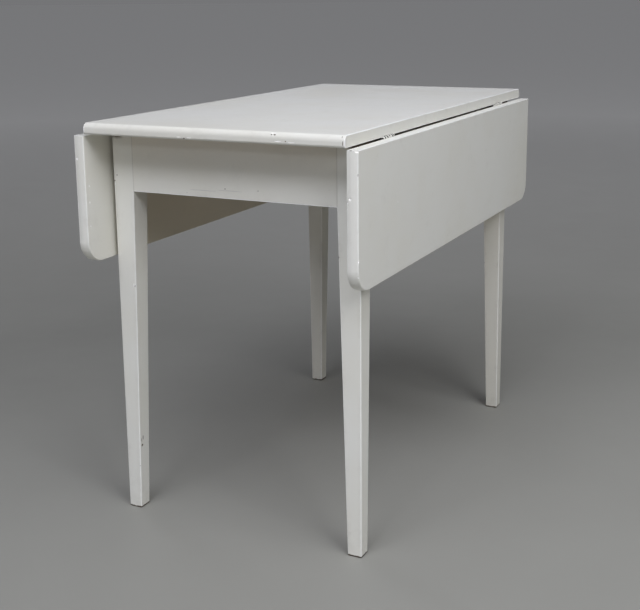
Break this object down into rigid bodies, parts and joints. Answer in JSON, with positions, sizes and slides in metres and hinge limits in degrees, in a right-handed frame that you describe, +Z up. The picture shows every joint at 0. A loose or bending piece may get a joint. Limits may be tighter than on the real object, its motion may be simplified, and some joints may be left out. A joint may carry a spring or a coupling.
{
  "type": "pembroke table",
  "caption": "Painted pembroke table: a rectangular top with a drop leaf hinged along each long side, on square tapered legs, with swinging brackets for the raised leaves.",
  "frame": {"origin": "on the floor, under the middle of the table", "axes": "+Z up, Y along the length of the top, X across it towards the leaves, the pictured end at -Y"},
  "size_m": [0.5396, 0.952, 0.74],
  "materials": {
    "white_painted_wood": "brushed off-white satin enamel with small chips",
    "bare_pine": "aged bare pine",
    "painted_hinge_steel": "steel painted over with the wood, worn at the knuckles",
    "plain_steel": "dull aged steel"
  },
  "bodies": {
    "frame": {"table_top": "white_painted_wood", "leg_front_left": "white_painted_wood", "leg_front_right": "white_painted_wood", "leg_back_left": "white_painted_wood", "leg_back_right": "white_painted_wood", "front_apron": "white_painted_wood", "back_apron": "white_painted_wood", "left_inner_rail": "bare_pine", "left_knuckle_rail": "bare_pine", "left_end_rail": "bare_pine", "right_inner_rail": "bare_pine", "right_knuckle_rail": "bare_pine", "right_end_rail": "bare_pine", "front_button": "bare_pine", "back_button": "bare_pine", "left_front_button": "bare_pine", "left_back_button": "bare_pine", "right_front_button": "bare_pine", "right_back_button": "bare_pine", "left_fly_pin": "plain_steel", "right_fly_pin": "plain_steel", "left_front_hinge_top_plate": "painted_hinge_steel", "left_back_hinge_top_plate": "painted_hinge_steel", "right_front_hinge_top_plate": "painted_hinge_steel", "right_back_hinge_top_plate": "painted_hinge_steel", "left_front_hinge_pin": "painted_hinge_steel", "left_back_hinge_pin": "painted_hinge_steel", "right_front_hinge_pin": "painted_hinge_steel", "right_back_hinge_pin": "painted_hinge_steel", "top_hinge_screws": "plain_steel", "rail_screws": "plain_steel", "button_screws": "plain_steel"},
    "left_drop_leaf": {"left_leaf": "white_painted_wood", "left_leaf_hinge_screws": "plain_steel", "left_front_hinge_leaf_plate": "painted_hinge_steel", "left_back_hinge_leaf_plate": "painted_hinge_steel"},
    "left_bracket": {"left_fly_bracket": "bare_pine"},
    "right_drop_leaf": {"right_leaf": "white_painted_wood", "right_leaf_hinge_screws": "plain_steel", "right_front_hinge_leaf_plate": "painted_hinge_steel", "right_back_hinge_leaf_plate": "painted_hinge_steel"},
    "right_bracket": {"right_fly_bracket": "bare_pine"}
  },
  "joints": [
    {"name": "left_leaf_hinge", "type": "hinge", "parent": "frame", "child": "left_drop_leaf", "pos_m": [-0.2483, 0, 0.7185], "axis": [0, 1, 0], "range_deg": [0, 90]},
    {"name": "right_leaf_hinge", "type": "hinge", "parent": "frame", "child": "right_drop_leaf", "pos_m": [0.2483, 0, 0.7185], "axis": [0, -1, 0], "range_deg": [0, 90]},
    {"name": "left_bracket_swing", "type": "hinge", "parent": "frame", "child": "left_bracket", "pos_m": [-0.2262, 0, 0.666], "axis": [0, 0, -1], "range_deg": [0, 4]},
    {"name": "right_bracket_swing", "type": "hinge", "parent": "frame", "child": "right_bracket", "pos_m": [0.2262, 0, 0.666], "axis": [0, 0, -1], "range_deg": [0, 4]}
  ]
}
